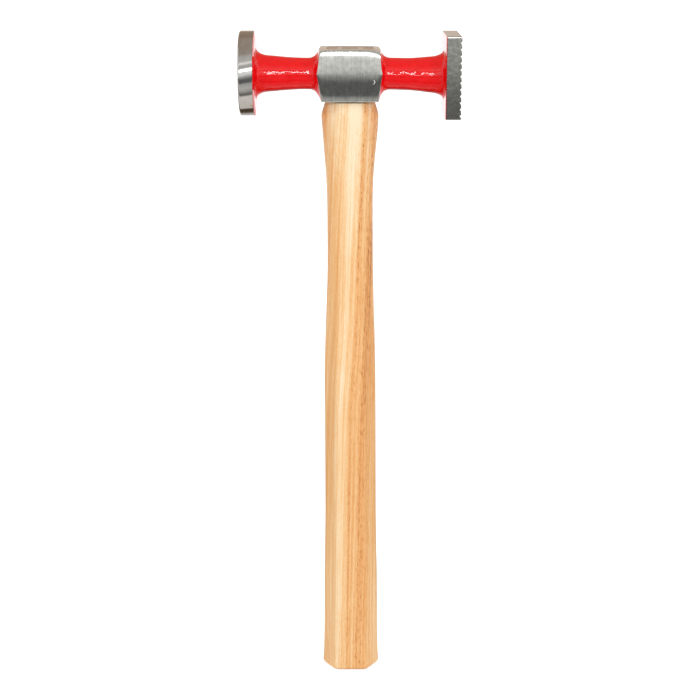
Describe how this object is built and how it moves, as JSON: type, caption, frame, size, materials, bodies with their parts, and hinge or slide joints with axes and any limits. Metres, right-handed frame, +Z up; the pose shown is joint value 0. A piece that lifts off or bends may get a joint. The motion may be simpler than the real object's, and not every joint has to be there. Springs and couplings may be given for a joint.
{
  "type": "auto body hammer",
  "caption": "Auto body shrinking hammer: forged head with a smooth round face and a serrated square face, wedged on an octagonal wooden handle.",
  "frame": {"origin": "middle of the flat butt end of the handle", "axes": "+Z runs up the handle to the head, the smooth round face looks along -X and the serrated square face along +X, -Y is the front seen in the picture"},
  "size_m": [0.1034, 0.0398, 0.3239],
  "materials": {
    "red_enamel": "gloss",
    "bare_steel": "ground",
    "hickory": "satin varnish",
    "wedge_wood": "sawn"
  },
  "bodies": {
    "root": {"hammer_head": "red_enamel", "handle": "hickory", "wood_wedge": "wedge_wood", "steel_wedge_left": "bare_steel", "steel_wedge_right": "bare_steel"}
  },
  "joints": []
}
